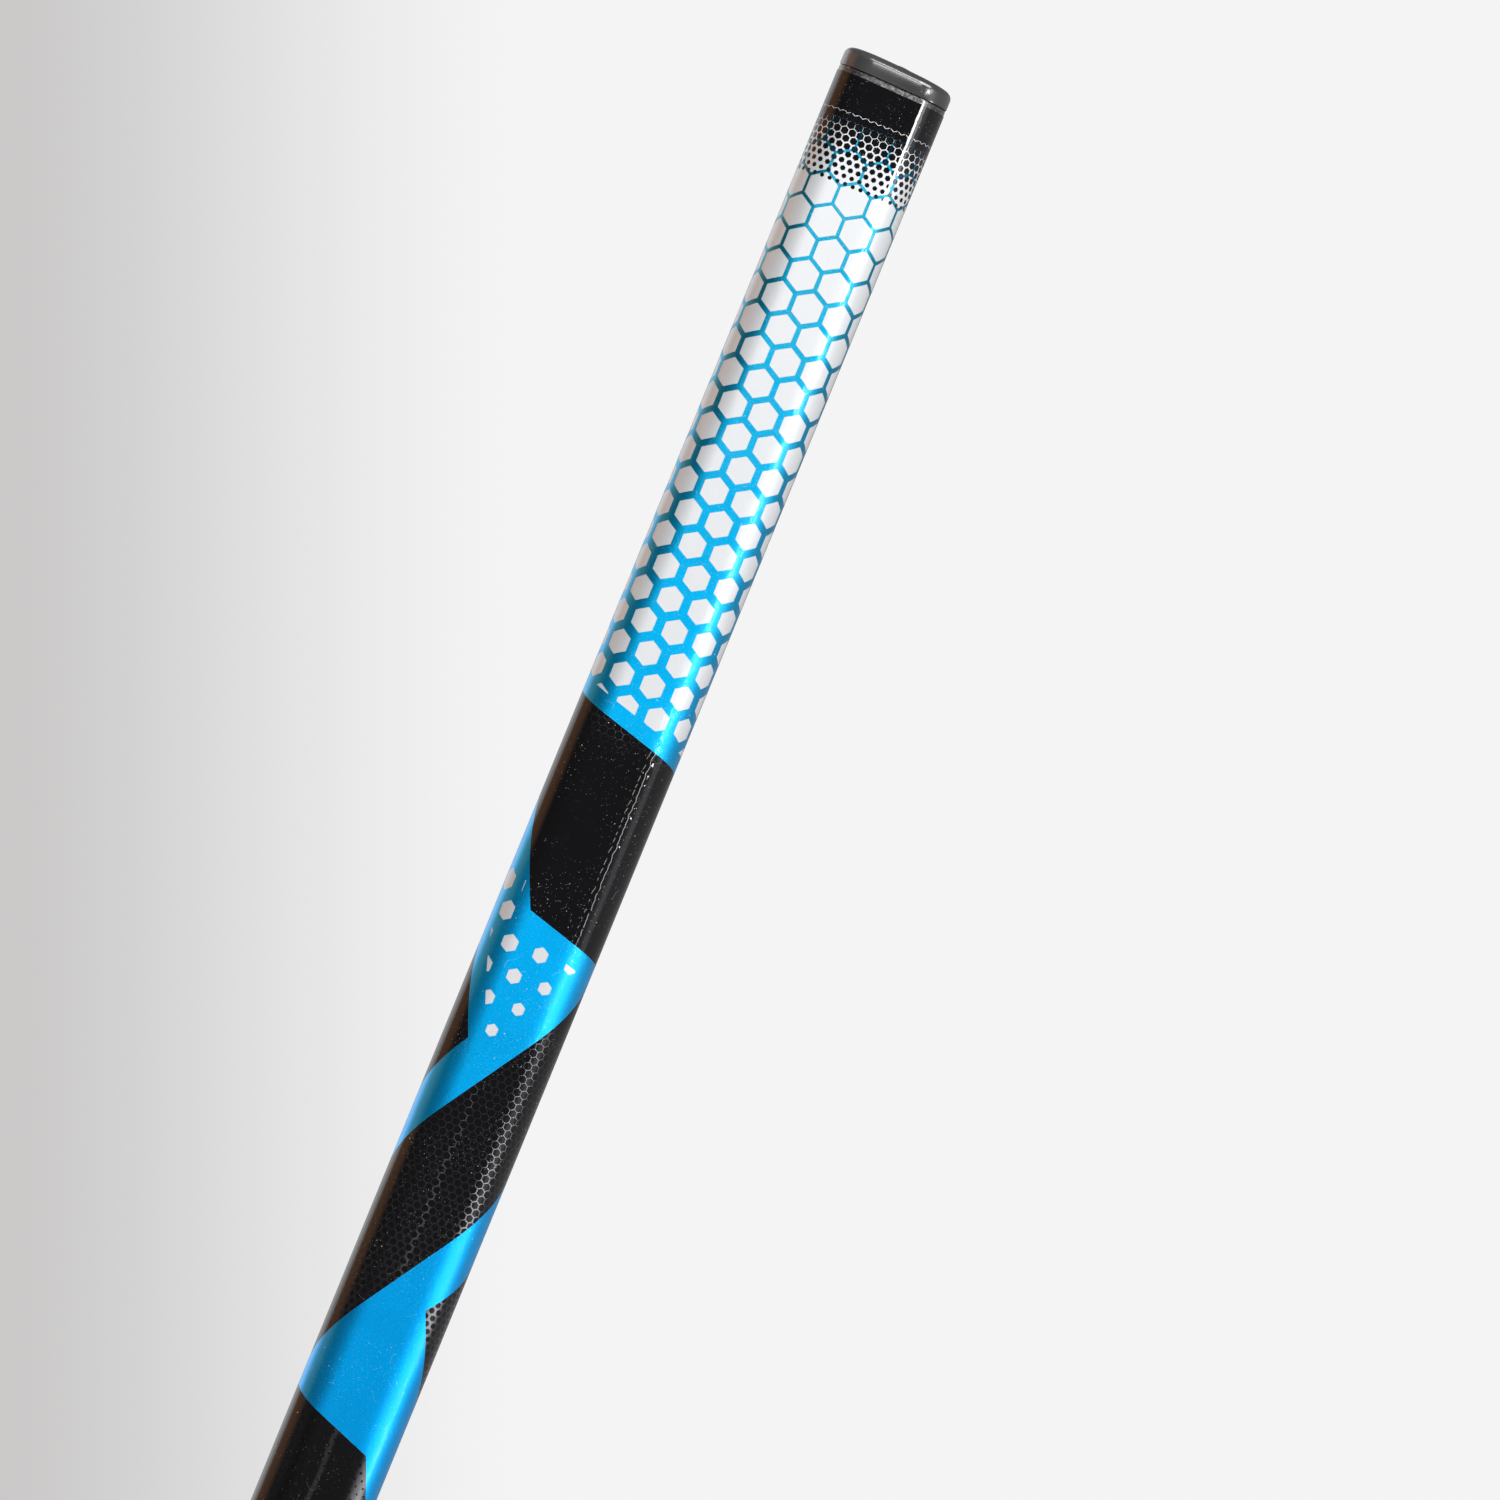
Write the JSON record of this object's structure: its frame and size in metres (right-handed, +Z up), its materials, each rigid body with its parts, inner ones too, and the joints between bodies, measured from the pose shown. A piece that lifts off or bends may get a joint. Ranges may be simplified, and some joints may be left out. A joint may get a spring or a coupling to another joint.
{
  "type": "curling broom",
  "caption": "Curling broom: flat-sided handle with a printed honeycomb skin and butt cap, on a padded sweeping head that pivots at its ferrule.",
  "frame": {"origin": "centre of the pad's flat sole, where the broom stands on the ice", "axes": "+Z up along the handle to the butt cap, +X along the head's long side and the pivot, -Y towards the handle's broad front face"},
  "size_m": [0.2, 0.066, 1.2203],
  "materials": {
    "composite_tube": "clear-coated dark fibre composite",
    "printed_skin": "gloss clear coat over a blue, silver and black print",
    "cap_plastic": "satin moulded",
    "ferrule_plastic": "satin moulded, fine grain",
    "head_plastic": "satin moulded, fine grain",
    "plate_plastic": "moulded",
    "bushing_plastic": "natural acetal",
    "lock_nylon": "nylon",
    "seal_rubber": "matt",
    "fastener_steel": "stainless, lightly polished",
    "insert_brass": "knurled",
    "pad_foam": "closed-cell foam",
    "pad_fabric": "tight woven nylon, slightly glossy"
  },
  "bodies": {
    "handle": {"shaft_tube": "composite_tube", "printed_skin": "printed_skin", "butt_cap": "cap_plastic", "ferrule": "ferrule_plastic", "ferrule_gasket": "seal_rubber", "handle_screws": "fastener_steel", "bushing_left": "bushing_plastic", "bushing_right": "bushing_plastic"},
    "head": {"pivot_sleeve": "fastener_steel", "friction_washers": "seal_rubber", "pivot_bolt": "fastener_steel", "bolt_washers": "fastener_steel", "pivot_nut": "fastener_steel", "locknut_ring": "lock_nylon", "head_shell": "head_plastic", "shell_gasket": "seal_rubber", "pad_screws": "fastener_steel", "plate_inserts": "insert_brass", "pad_plate": "plate_plastic", "pad_foam": "pad_foam", "pad_cover": "pad_fabric"}
  },
  "joints": [
    {"name": "head_pivot", "type": "hinge", "parent": "handle", "child": "head", "pos_m": [0, 0, 0.046], "axis": [1, 0, 0], "range_deg": [-70, 70]}
  ]
}
